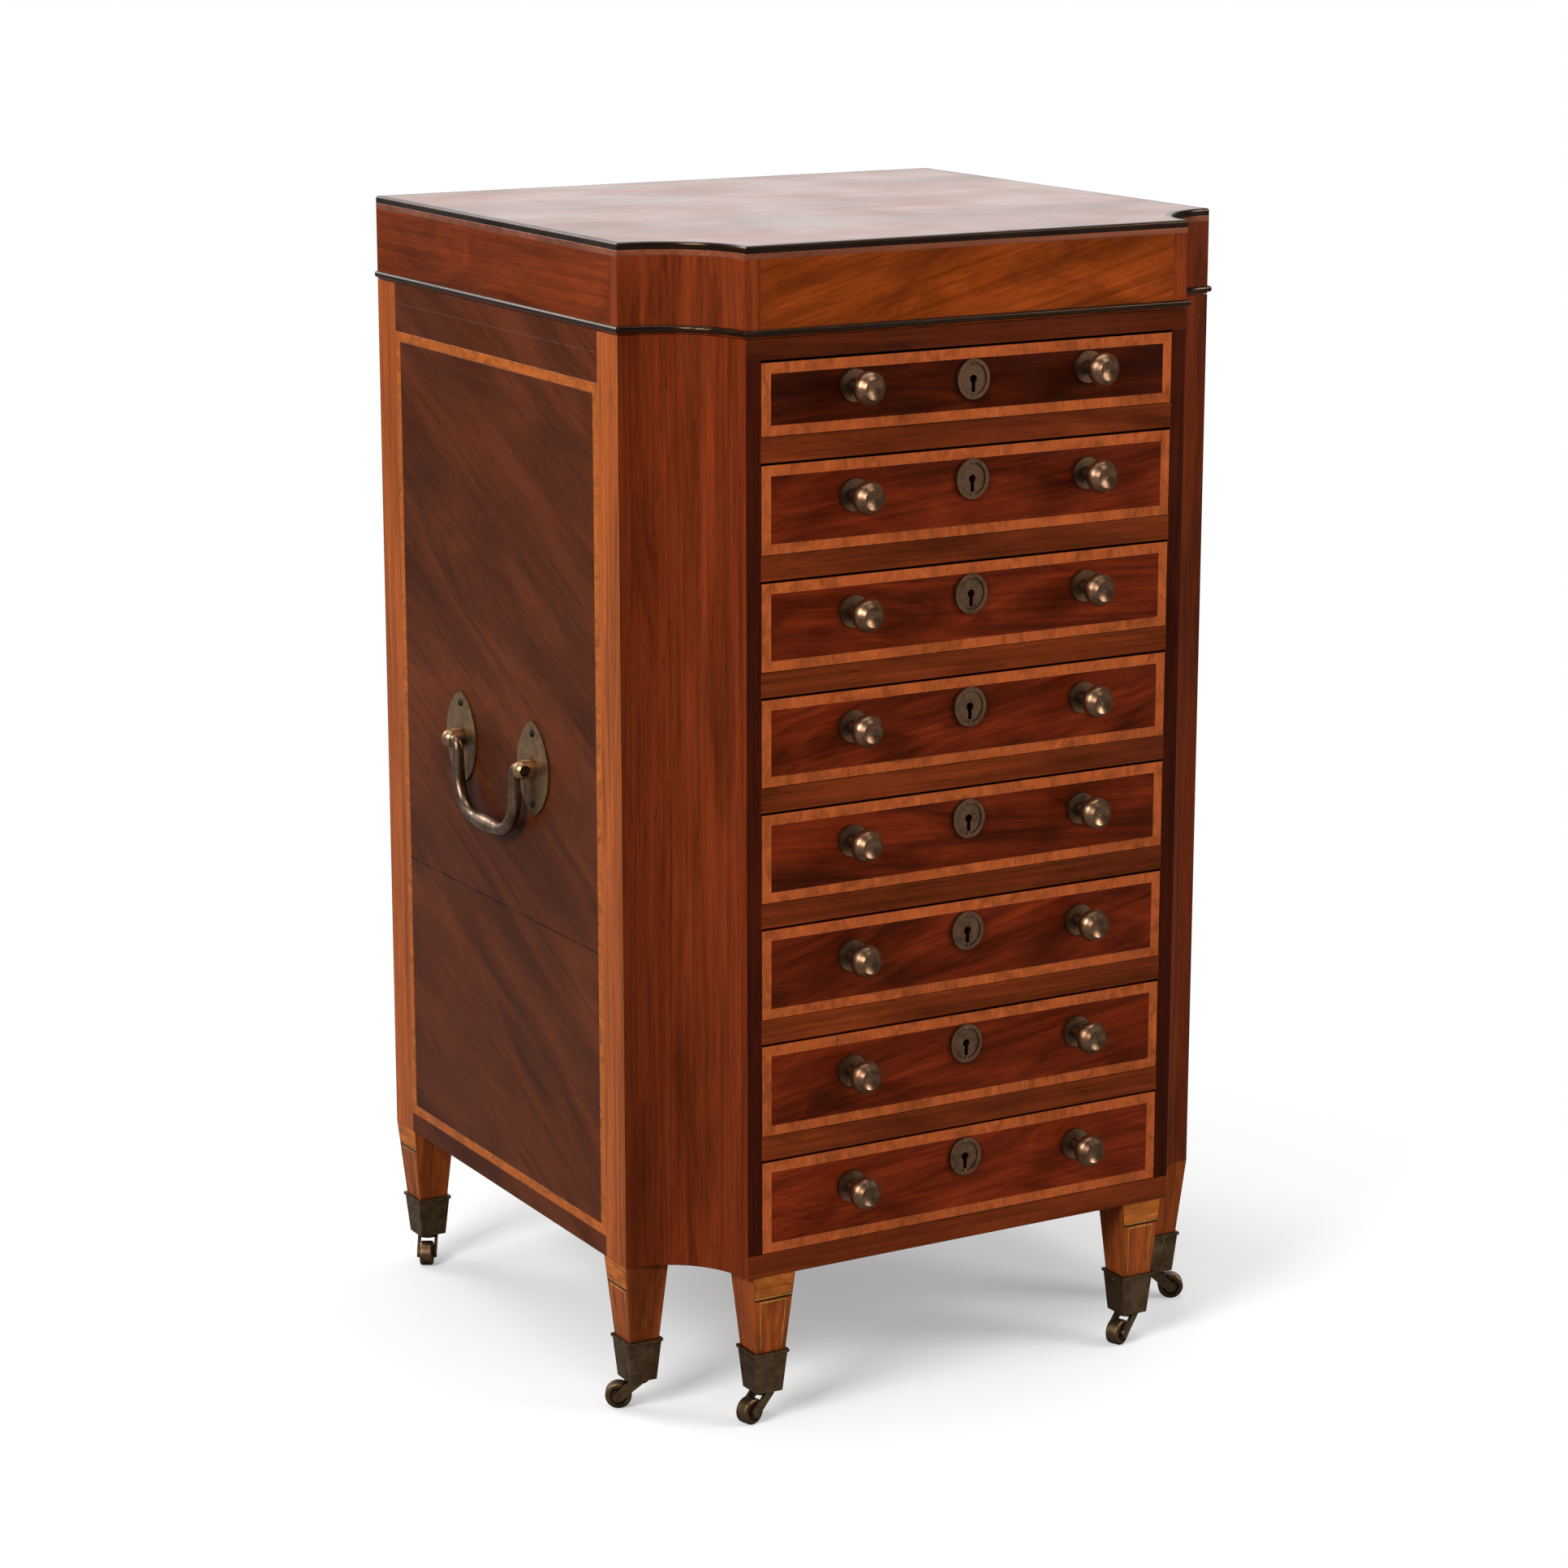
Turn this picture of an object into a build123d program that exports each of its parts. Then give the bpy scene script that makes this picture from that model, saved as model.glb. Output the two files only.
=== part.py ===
"""Collectors cabinet: eight graduated drawers under a hinged lid, on six legs with brass casters.

X runs to the right, Y to the back and Z up from the floor, in millimetres.
"""
import os
from math import cos, radians, sin, sqrt

from build123d import *

os.makedirs("parts", exist_ok=True)

# Carcass
cabinet_width = 428.0
cabinet_depth = 400.0
underside_height = 100.0
cove_radius = 56.0
stile_width = 10.0
base_thickness = 15.0
top_thickness = 12.8
side_thickness = 12.0
back_thickness = 10.0
cheek_thickness = 10.0
rail_height = 15.4
rail_depth = 30.0
runner_width = 12.0
cut_overrun = 2.0

# Light veneer and string on both sides
side_stile_width = 27.0
string_width = 6.5
string_top_drop = 31.5
string_bottom_rise = 13.4
veneer_thickness = 1.0

# Drawers, counted from the top
drawer_count = 8
even_drawers = 4
top_drawer_height = 44.0
upper_drawer_height = 54.0
drawer_step = 1.25
gap_above_drawer = 1.6
gap_below_drawer = 0.4
gap_beside_drawer = 0.5
runner_gap = 0.3
front_thickness = 18.0
lap_thickness = 6.0
banding_width = 6.5
banding_thickness = 1.2
lining_thickness = 9.0
bottom_thickness = 5.0
bottom_rise = 5.0
groove_depth = 4.0
lining_drop = 6.0
room_behind_drawer = 8.0
tail_count = 2
tail_root_share = 0.5
tail_flare_share = 0.17

# Drawer knobs, turned in brass
knob_spacing = 168.0
knob_rise = 5.0
knob_projection = 25.0
knob_diameter = 21.0
rose_diameter = 20.0
rose_thickness = 2.5
neck_diameter = 9.0
shank_diameter = 5.0
shank_clearance = 0.1
nut_diameter = 11.0
nut_thickness = 4.0
neck_end_share = 0.5
bulge_share = 0.72
shoulder_share = 0.92
shoulder_radius_share = 0.78
ring_radius_share = 0.6
dish_share = 0.93

# Escutcheons and drawer locks
escutcheon_width = 23.0
escutcheon_height = 25.0
escutcheon_thickness = 2.2
escutcheon_rim = 2.4
escutcheon_dish = 0.7
escutcheon_drop = 19.0
keyhole_diameter = 5.0
keyhole_slot = 2.6
keyhole_length = 8.0
lock_width = 44.0
lock_height = 30.0
lock_thickness = 10.0

# Lid
lid_height = 55.0
lid_gap = 0.4
lid_panel_thickness = 8.0
lid_rail_thickness = 12.0
edging_width = 4.0
edging_height = 4.5
edging_round = 1.5
bead_height = 4.0
bead_projection = 2.0
bead_rise = 1.0
bead_round = 1.6

# Lid hinges
hinge_spacing = 240.0
hinge_length = 42.0
leaf_thickness = 1.5
leaf_width = 10.0
knuckle_diameter = 6.0
hinge_pin_diameter = 3.0
hinge_clearance = 0.05
knuckle_gap = 0.3

# Carrying handles
handle_spacing = 105.0
handle_height = 398.0
plate_height = 62.0
plate_width = 44.0
plate_thickness = 1.5
handle_post_diameter = 12.0
pivot_out = 9.0
bail_diameter = 7.0
bail_clearance = 0.1
bail_drop = 46.0
bail_elbow = 5.0
bail_bend = 26.0
grip_diameter = 10.0
screw_diameter = 5.0
screw_head = 1.2
screw_end_margin = 8.0

# Legs and their brass caps
leg_size = 30.0
foot_size = 16.5
front_leg_inset = 4.0
leg_tenon_diameter = 14.0
leg_tenon_length = 10.0
cap_bottom = 20.0
cap_height = 28.0
cap_wall = 1.2
cap_floor = 3.0
cap_lip_height = 2.0
cap_lip = 0.8

# Casters
wheel_diameter = 17.0
wheel_width = 9.0
wheel_round = 1.5
wheel_hub_diameter = 9.0
wheel_dish = 1.0
caster_trail = 12.0
crown_diameter = 14.0
crown_thickness = 2.1
swivel_gap = 0.3
fork_gap = 0.4
fork_thickness = 1.8
axle_eye_diameter = 6.4
axle_diameter = 3.0
stem_diameter = 6.0
stem_length = 12.0
stem_bore_diameter = 8.0
pivot_clearance = 0.05
rear_left_turn = 240.0
rear_right_turn = 60.0
side_left_turn = 150.0
side_right_turn = 330.0
front_left_turn = 197.0
front_right_turn = 205.0

# Places worked out from the sizes above
half_width = cabinet_width / 2
post_size = cove_radius + stile_width
opening_width = cabinet_width - 2 * post_size
knuckle_radius = knuckle_diameter / 2
hinge_reach = 2 * knuckle_radius
front_y = (knob_projection - hinge_reach - cabinet_depth) / 2
back_y = front_y + cabinet_depth
back_inner_y = back_y - back_thickness
base_top = underside_height + base_thickness

drawer_heights = [top_drawer_height]
for place in range(1, drawer_count):
    drawer_heights.append(upper_drawer_height + drawer_step * max(0, place + 1 - even_drawers))

opening_bottoms = [0.0] * drawer_count
rail_bottoms = []
level = base_top
for place in reversed(range(drawer_count)):
    opening_bottoms[place] = level
    level += gap_below_drawer + drawer_heights[place] + gap_above_drawer
    if place:
        rail_bottoms.append(level)
        level += rail_height
case_top = level
lid_joint = case_top + top_thickness
lid_bottom = lid_joint + lid_gap
lid_top = lid_joint + lid_height
hinge_y = back_y + knuckle_radius
hinge_z = lid_joint + lid_gap / 2
handle_y = (front_y + cove_radius + back_y) / 2

side_leg_y = front_y + cove_radius + leg_size / 2
rear_leg_y = back_y - leg_size / 2
front_leg_x = half_width - cove_radius - front_leg_inset - leg_size / 2
outer_leg_x = half_width - leg_size / 2
legs = {
    "rear_left": (-outer_leg_x, rear_leg_y, rear_left_turn),
    "rear_right": (outer_leg_x, rear_leg_y, rear_right_turn),
    "side_left": (-outer_leg_x, side_leg_y, side_left_turn),
    "side_right": (outer_leg_x, side_leg_y, side_right_turn),
    "front_left": (-front_leg_x, front_y + leg_size / 2, front_left_turn),
    "front_right": (front_leg_x, front_y + leg_size / 2, front_right_turn),
}
leg_points = [(x, y) for x, y, turn in legs.values()]


def save(node, pieces):
    """Write the pieces of one node to its STEP file, each as its own solid."""
    solids = [solid for piece in pieces for solid in piece.solids()]
    body = solids[0] if len(solids) == 1 else Compound(children=solids)
    body.label = node
    export_step(body, f"parts/{node}.step")


def board(x_span, y_span, z_span):
    """A plain board between two ends along X, Y and Z."""
    with BuildPart() as plank:
        with Locations((min(x_span), min(y_span), min(z_span))):
            Box(
                abs(x_span[1] - x_span[0]),
                abs(y_span[1] - y_span[0]),
                abs(z_span[1] - z_span[0]),
                align=(Align.MIN, Align.MIN, Align.MIN),
            )
    return plank.part


def plan_line(inset):
    """The cabinet's plan taken in by inset: square behind, with a cove at both front corners."""
    side_x = half_width - inset
    reach = sqrt((cove_radius + inset) ** 2 - inset**2)
    middle = (cove_radius + inset) * cos(radians(45))
    front, back = front_y + inset, back_y - inset
    Polyline(
        (half_width - reach, front),
        (reach - half_width, front),
    )
    ThreePointArc(
        (reach - half_width, front),
        (middle - half_width, front_y + middle),
        (-side_x, front_y + reach),
    )
    Polyline(
        (-side_x, front_y + reach),
        (-side_x, back),
        (side_x, back),
        (side_x, front_y + reach),
    )
    ThreePointArc(
        (side_x, front_y + reach),
        (half_width - middle, front_y + middle),
        (half_width - reach, front),
    )


def plan_sketch(height, inset, hole_inset=None):
    """The plan as a face at a height, whole or as a ring with the plan at hole_inset left out."""
    with BuildSketch(Plane.XY.offset(height)) as plan:
        with BuildLine():
            plan_line(inset)
        make_face()
        if hole_inset is not None:
            with BuildLine():
                plan_line(hole_inset)
            make_face(mode=Mode.SUBTRACT)
    return plan.sketch


def coved_post(side, bottom, top):
    """A square corner post with its outer corner hollowed by the cove."""
    with BuildPart() as post:
        with BuildSketch(Plane.XY.offset(bottom)):
            with Locations((side * (half_width - post_size / 2), front_y + post_size / 2)):
                Rectangle(post_size, post_size)
            with Locations((side * half_width, front_y)):
                Circle(cove_radius, mode=Mode.SUBTRACT)
        extrude(amount=top - bottom)
    return post.part


def mitred_frame(plane, width, height, strip, thickness):
    """Four mitred strips round a rectangle, let in below the plane."""
    outer = [(-width / 2, -height / 2), (width / 2, -height / 2)]
    outer += [(-x, -y) for x, y in outer]
    inner = [(-width / 2 + strip, -height / 2 + strip), (width / 2 - strip, -height / 2 + strip)]
    inner += [(-x, -y) for x, y in inner]
    strips = []
    for corner in range(4):
        after = (corner + 1) % 4
        with BuildPart() as lath:
            with BuildSketch(plane):
                with BuildLine():
                    Polyline(outer[corner], outer[after], inner[after], inner[corner], close=True)
                make_face()
            extrude(amount=-thickness)
        strips.append(lath.part)
    return strips


def cut_away(piece, cutters):
    """A piece with what is let into it cut away."""
    with BuildPart() as cut:
        add(piece)
        for cutter in cutters:
            add(cutter, mode=Mode.SUBTRACT)
    return cut.part


# Light stile veneers and string on each side
string_bottom = underside_height + string_bottom_rise
string_top = lid_joint - string_top_drop
string_front_y = front_y + cove_radius + side_stile_width
string_back_y = back_y - side_stile_width
side_inlays = []
for side in (-1, 1):
    skin = (side * half_width, side * (half_width - veneer_thickness))
    for stile_y in (front_y + cove_radius, string_back_y):
        veneer_span = (stile_y, stile_y + side_stile_width)
        side_inlays.append(board(skin, veneer_span, (underside_height, lid_joint)))
    string_plane = Plane(
        origin=(side * half_width, (string_front_y + string_back_y) / 2, (string_bottom + string_top) / 2),
        x_dir=(0, side, 0),
        z_dir=(side, 0, 0),
    )
    string_length = string_back_y - string_front_y
    string_height = string_top - string_bottom
    side_inlays += mitred_frame(string_plane, string_length, string_height, string_width, veneer_thickness)
save("side_inlays", side_inlays)

# Hinge leaves and knuckles
lower_leaves = []
upper_leaves = []
leaf_cuts = []
knuckle_length = hinge_length / 3
leaf_front_y = back_y - leaf_width
for side in (-1, 1):
    hinge_x = side * hinge_spacing / 2
    ends = (hinge_x - hinge_length / 2, hinge_x + hinge_length / 2)
    barrel_plane = Plane(origin=(hinge_x, hinge_y, hinge_z), x_dir=(0, 1, 0), z_dir=(1, 0, 0))
    lower_z = (lid_joint - leaf_thickness, lid_joint)
    upper_z = (lid_bottom, lid_bottom + leaf_thickness)
    middle = (hinge_x - knuckle_length / 2, hinge_x + knuckle_length / 2)
    leaf_cuts.append(board(ends, (leaf_front_y, back_y), lower_z))
    leaf_cuts.append(board(ends, (leaf_front_y, back_y), upper_z))
    with BuildPart() as lower_leaf:
        add(board(ends, (leaf_front_y, hinge_y), lower_z))
        with BuildSketch(barrel_plane):
            Circle(knuckle_radius)
        extrude(amount=hinge_length / 2, both=True)
        with BuildSketch(barrel_plane):
            Circle(knuckle_radius + cut_overrun)
        extrude(amount=knuckle_length / 2 + knuckle_gap, both=True, mode=Mode.SUBTRACT)
        add(board(ends, (leaf_front_y, back_y), lower_z))
        with BuildSketch(barrel_plane):
            Circle(hinge_pin_diameter / 2)
        extrude(amount=hinge_length / 2, both=True)
    with BuildPart() as upper_leaf:
        add(board(middle, (back_y, hinge_y), upper_z))
        with BuildSketch(barrel_plane):
            Circle(knuckle_radius)
        extrude(amount=knuckle_length / 2, both=True)
        add(board(ends, (leaf_front_y, back_y), upper_z))
        with BuildSketch(barrel_plane):
            Circle(hinge_pin_diameter / 2 + hinge_clearance)
        extrude(amount=hinge_length, both=True, mode=Mode.SUBTRACT)
    lower_leaves.append(lower_leaf.part)
    upper_leaves.append(upper_leaf.part)
save("hinge_lower_leaves", lower_leaves)
save("hinge_upper_leaves", upper_leaves)

# Boards of the carcass
with BuildPart() as base_board:
    add(plan_sketch(underside_height, 0))
    extrude(amount=base_thickness)
    with BuildSketch(Plane.XY.offset(underside_height)):
        with Locations(*leg_points):
            Circle(leg_tenon_diameter / 2)
    extrude(amount=leg_tenon_length, mode=Mode.SUBTRACT)
save("base_board", [cut_away(base_board.part, side_inlays)])

with BuildPart() as top_board:
    add(plan_sketch(case_top, 0))
    extrude(amount=top_thickness)
save("top_board", [cut_away(top_board.part, side_inlays + leaf_cuts)])

case_z = (base_top, case_top)
for side, name in ((-1, "left"), (1, "right")):
    side_x = (side * half_width, side * (half_width - side_thickness))
    panel = board(side_x, (front_y + post_size, back_y), case_z)
    save(f"{name}_side_panel", [cut_away(panel, side_inlays)])
    save(f"{name}_coved_post", [cut_away(coved_post(side, *case_z), side_inlays)])

panel_x = half_width - side_thickness
save("back_panel", [board((-panel_x, panel_x), (back_inner_y, back_y), case_z)])

half_opening = opening_width / 2
cheeks = []
rails = []
runners = []
for side in (-1, 1):
    cheek_x = (side * half_opening, side * (half_opening + cheek_thickness))
    cheeks.append(board(cheek_x, (front_y + post_size, back_inner_y), case_z))
for bottom in rail_bottoms:
    rail_z = (bottom, bottom + rail_height)
    rails.append(board((-half_opening, half_opening), (front_y, front_y + rail_depth), rail_z))
    for side in (-1, 1):
        runner_x = (side * half_opening, side * (half_opening - runner_width))
        runners.append(board(runner_x, (front_y + rail_depth, back_inner_y), rail_z))
save("drawer_cheeks", cheeks)
save("drawer_rails", rails)
save("drawer_runners", runners)

# Lid
edging_bottom = lid_top - edging_height
lid_rail_top = lid_top - lid_panel_thickness
with BuildPart() as lid_edging:
    add(plan_sketch(edging_bottom, 0, edging_width))
    extrude(amount=edging_height)
    rim = lid_edging.faces().sort_by(Axis.Z)[-1].outer_wire().edges()
    fillet(rim, radius=edging_round)
save("lid_edging", [lid_edging.part])

with BuildPart() as lid_panel:
    add(plan_sketch(lid_rail_top, 0))
    extrude(amount=lid_panel_thickness)
    add(plan_sketch(edging_bottom, 0, edging_width))
    extrude(amount=edging_height, mode=Mode.SUBTRACT)
save("lid_panel", [lid_panel.part])

lid_z = (lid_bottom, lid_rail_top)
lid_rails = [board((-half_opening, half_opening), (front_y, front_y + lid_rail_thickness), lid_z)]
lid_inner_x = half_width - lid_rail_thickness
for side in (-1, 1):
    lid_rails.append(board((side * half_width, side * lid_inner_x), (front_y + post_size, back_y), lid_z))
back_rail = board((-lid_inner_x, lid_inner_x), (back_y - lid_rail_thickness, back_y), lid_z)
lid_rails.append(cut_away(back_rail, leaf_cuts))
save("lid_rails", lid_rails)
save("lid_coved_corners", [coved_post(side, *lid_z) for side in (-1, 1)])

with BuildPart() as lid_bead:
    add(plan_sketch(lid_bottom + bead_rise, -bead_projection, 0))
    extrude(amount=bead_height)
    outer_faces = lid_bead.faces().sort_by(Axis.Z)
    fillet(outer_faces[-1].outer_wire().edges() + outer_faces[0].outer_wire().edges(), radius=bead_round)
    with BuildSketch(Plane.XY.offset(lid_bottom)):
        with Locations((0, back_y + bead_projection)):
            Rectangle(cabinet_width + 2 * post_size, 2 * bead_projection)
    extrude(amount=lid_height, mode=Mode.SUBTRACT)
save("lid_bead", [lid_bead.part])


# Drawers
def tail_outlines(root_y, tip_y, low, high):
    """Outlines, in Y and Z, of the dovetails that widen from root to tip between two heights."""
    pitch = (high - low) / tail_count
    flare = abs(tip_y - root_y) * tail_flare_share
    outlines = []
    for tail in range(tail_count):
        middle = low + (tail + 1 / 2) * pitch
        root = pitch * tail_root_share / 2
        outlines.append(
            [
                (root_y, middle - root),
                (root_y, middle + root),
                (tip_y, middle + root + flare),
                (tip_y, middle - root - flare),
            ]
        )
    return outlines


def knob(x, z):
    """A turned knob with its rose in front of the drawer, and its shank and nut through it."""
    plane = Plane(origin=(x, front_y, z), x_dir=(0, -1, 0), z_dir=(-1, 0, 0))
    axis = Axis((x, front_y, z), (0, -1, 0))
    radius = knob_diameter / 2
    neck_end = knob_projection * neck_end_share
    bulge = (knob_projection * bulge_share, radius)
    shoulder = (knob_projection * shoulder_share, radius * shoulder_radius_share)
    ring = (knob_projection, radius * ring_radius_share)
    shank = shank_diameter / 2
    tail_end = -front_thickness - nut_thickness
    with BuildPart() as turning:
        with BuildSketch(plane):
            with BuildLine():
                Polyline(
                    (knob_projection * dish_share, 0),
                    (tail_end, 0),
                    (tail_end, shank),
                    (rose_thickness, shank),
                    (rose_thickness, neck_diameter / 2),
                    (neck_end, neck_diameter / 2),
                )
                TangentArc((neck_end, neck_diameter / 2), bulge, tangent=(0, 1))
                TangentArc(bulge, shoulder, tangent=(1, 0))
                Polyline(shoulder, ring)
                TangentArc((knob_projection * dish_share, 0), ring, tangent=(0, 1))
            make_face()
        revolve(axis=axis)
    rings = []
    for diameter, near, far in (
        (rose_diameter, 0, rose_thickness),
        (nut_diameter, tail_end, -front_thickness),
    ):
        with BuildPart() as washer:
            with BuildSketch(Plane(plane.origin, x_dir=(1, 0, 0), z_dir=(0, -1, 0)).offset(near)):
                Circle(diameter / 2)
                Circle(shank, mode=Mode.SUBTRACT)
            extrude(amount=far - near)
        rings.append(washer.part)
    return [turning.part] + rings


def keyhole(grow):
    """A round keyhole with its slot below, drawn about the escutcheon's centre."""
    Circle(keyhole_diameter / 2 + grow)
    with Locations((0, -keyhole_length / 2)):
        Rectangle(keyhole_slot + 2 * grow, keyhole_length)


drawer_back_y = back_inner_y - room_behind_drawer
drawer_width = opening_width - 2 * gap_beside_drawer
lining_x = (drawer_width / 2, drawer_width / 2 - lining_thickness)
front_inner_y = front_y + front_thickness
back_board_y = drawer_back_y - lining_thickness


def drawer(number, height, opening_bottom):
    """One drawer: its banded front, its dovetailed box and its brasses, written as three nodes."""
    front_bottom = opening_bottom + gap_below_drawer
    front_top = front_bottom + height
    box_bottom = opening_bottom + runner_gap
    box_top = front_top - lining_drop
    floor_bottom = box_bottom + bottom_rise
    floor_top = floor_bottom + bottom_thickness
    face = Plane(
        origin=(0, front_y, (front_bottom + front_top) / 2),
        x_dir=(1, 0, 0),
        z_dir=(0, -1, 0),
    )
    lock_face = Plane(
        origin=(0, front_y, front_top - escutcheon_drop),
        x_dir=(1, 0, 0),
        z_dir=(0, -1, 0),
    )
    front_tails = tail_outlines(front_inner_y, front_y + lap_thickness, floor_top, box_top)
    back_tails = tail_outlines(back_board_y, drawer_back_y, floor_top, box_top)

    sides = []
    for side in (-1, 1):
        with BuildPart() as lining:
            with BuildSketch(Plane.YZ.offset(side * lining_x[1])):
                with BuildLine():
                    Polyline(
                        (front_inner_y, box_bottom),
                        (back_board_y, box_bottom),
                        (back_board_y, box_top),
                        (front_inner_y, box_top),
                        close=True,
                    )
                make_face()
                for outline in front_tails + back_tails:
                    Polygon(*outline, align=None)
            extrude(amount=side * lining_thickness)
        sides.append(lining.part)

    floor_x = lining_x[1] + groove_depth
    floor = board((-floor_x, floor_x), (front_inner_y - groove_depth, back_board_y), (floor_bottom, floor_top))
    sides = [cut_away(lining, [floor]) for lining in sides]
    back = board((-lining_x[0], lining_x[0]), (back_board_y, drawer_back_y), (box_bottom, box_top))
    back = cut_away(back, sides)
    save(f"drawer_{number}_box", sides + [back, floor])

    lock = board(
        (-lock_width / 2, lock_width / 2),
        (front_inner_y - lock_thickness, front_inner_y),
        (front_top - lock_height, front_top),
    )
    banding = mitred_frame(face, drawer_width, height, banding_width, banding_thickness)
    with BuildPart() as front:
        with BuildSketch(face):
            Rectangle(drawer_width, height)
        extrude(amount=-front_thickness)
        with BuildSketch(face):
            with Locations((-knob_spacing / 2, knob_rise), (knob_spacing / 2, knob_rise)):
                Circle(shank_diameter / 2 + shank_clearance)
        extrude(amount=-front_thickness, mode=Mode.SUBTRACT)
        with BuildSketch(lock_face):
            keyhole(shank_clearance)
        extrude(amount=-front_thickness, mode=Mode.SUBTRACT)
    fitted = cut_away(front.part, sides + [floor, lock] + banding)
    save(f"drawer_{number}_front", [fitted] + banding)

    with BuildPart() as escutcheon:
        with BuildSketch(lock_face):
            Ellipse(escutcheon_width / 2, escutcheon_height / 2)
        extrude(amount=escutcheon_thickness)
        with BuildSketch(lock_face.offset(escutcheon_thickness)):
            Ellipse(escutcheon_width / 2 - escutcheon_rim, escutcheon_height / 2 - escutcheon_rim)
        extrude(amount=-escutcheon_dish, mode=Mode.SUBTRACT)
        with BuildSketch(lock_face):
            keyhole(0)
        extrude(amount=escutcheon_thickness, mode=Mode.SUBTRACT)
    brasses = [escutcheon.part, lock]
    for side in (-1, 1):
        brasses += knob(side * knob_spacing / 2, face.origin.Z + knob_rise)
    save(f"drawer_{number}_brasses", brasses)


for place in range(drawer_count):
    drawer(place + 1, drawer_heights[place], opening_bottoms[place])


# Carrying handles
handle_plates = []
handle_screws = []
for side, name in ((-1, "left"), (1, "right")):
    pivot_x = side * (half_width + pivot_out)
    for end in (-1, 1):
        post_y = handle_y + end * handle_spacing / 2
        plate_plane = Plane(
            origin=(side * half_width, post_y, handle_height),
            x_dir=(0, side, 0),
            z_dir=(side, 0, 0),
        )
        bore_plane = Plane(origin=(pivot_x, post_y, handle_height), x_dir=(1, 0, 0), z_dir=(0, 1, 0))
        screw_rise = plate_height / 2 - screw_end_margin
        screw_places = [(0, -screw_rise), (0, screw_rise)]
        with BuildPart() as plate:
            with BuildSketch(plate_plane):
                with BuildLine():
                    for bow in (-1, 1):
                        ThreePointArc((0, -plate_height / 2), (bow * plate_width / 2, 0), (0, plate_height / 2))
                make_face()
            extrude(amount=plate_thickness)
            with BuildSketch(plate_plane):
                Circle(handle_post_diameter / 2)
            extrude(amount=pivot_out)
            with Locations((pivot_x, post_y, handle_height)):
                Sphere(handle_post_diameter / 2)
            with BuildSketch(bore_plane):
                Circle(bail_diameter / 2 + bail_clearance)
            extrude(amount=handle_post_diameter, both=True, mode=Mode.SUBTRACT)
            with BuildSketch(plate_plane):
                with Locations(*screw_places):
                    Circle(screw_diameter / 2)
            extrude(amount=plate_thickness, mode=Mode.SUBTRACT)
        handle_plates.append(plate.part)
        for place in screw_places:
            with BuildPart() as screw:
                with BuildSketch(plate_plane):
                    with Locations(place):
                        Circle(screw_diameter / 2)
                extrude(amount=plate_thickness + screw_head)
                fillet(screw.edges().sort_by(Axis.X)[0 if side < 0 else -1], radius=screw_head)
            handle_screws.append(screw.part)

    leg_gap = handle_post_diameter / 2 + bail_diameter / 2 + bail_clearance + bail_elbow / 4
    bail_leg = handle_spacing / 2 - leg_gap
    pin_end = handle_spacing / 2 + handle_post_diameter / 4
    bail_plane = Plane(origin=(pivot_x, handle_y, handle_height), x_dir=(0, 1, 0), z_dir=(1, 0, 0))
    grip_half = bail_leg - bail_bend
    with BuildPart() as bail:
        with BuildLine(bail_plane) as bail_path:
            FilletPolyline(
                (pin_end, 0),
                (bail_leg, 0),
                (bail_leg, -bail_drop),
                (-bail_leg, -bail_drop),
                (-bail_leg, 0),
                (-pin_end, 0),
                radius=[bail_elbow, bail_bend, bail_bend, bail_elbow],
            )
        with BuildSketch(Plane(bail_path.line @ 0, z_dir=bail_path.line % 0)):
            Circle(bail_diameter / 2)
        sweep(path=bail_path.line)
        with BuildSketch(bail_plane):
            with BuildLine():
                Polyline((grip_half, -bail_drop), (-grip_half, -bail_drop))
                Polyline((grip_half, -bail_drop), (grip_half, bail_diameter / 2 - bail_drop))
                ThreePointArc(
                    (grip_half, bail_diameter / 2 - bail_drop),
                    (0, grip_diameter / 2 - bail_drop),
                    (-grip_half, bail_diameter / 2 - bail_drop),
                )
                Polyline((-grip_half, bail_diameter / 2 - bail_drop), (-grip_half, -bail_drop))
            make_face()
        revolve(axis=Axis((pivot_x, handle_y, handle_height - bail_drop), (0, 1, 0)))
    save(f"{name}_bail", [bail.part])
save("handle_plates", handle_plates)
save("handle_screws", handle_screws)

# Legs, caps and casters
foot_z = cap_bottom + cap_floor
cap_top = cap_bottom + cap_height
taper_share = (leg_size - foot_size) / (underside_height - foot_z)


def leg_width(height):
    """The tapered leg's width at a height above the floor."""
    return foot_size + (height - foot_z) * taper_share


def square_taper(point, low, high, grow):
    """A square block that follows the leg's taper between two heights, larger by grow on each face."""
    with BuildPart() as block:
        for height in (low, high):
            with BuildSketch(Plane((*point, height))):
                Rectangle(leg_width(height) + 2 * grow, leg_width(height) + 2 * grow)
        loft()
    return block.part


def round_bar(point, low, high, diameter):
    """An upright round bar between two heights."""
    with BuildPart() as bar:
        with BuildSketch(Plane((*point, low))):
            Circle(diameter / 2)
        extrude(amount=high - low)
    return bar.part


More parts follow.
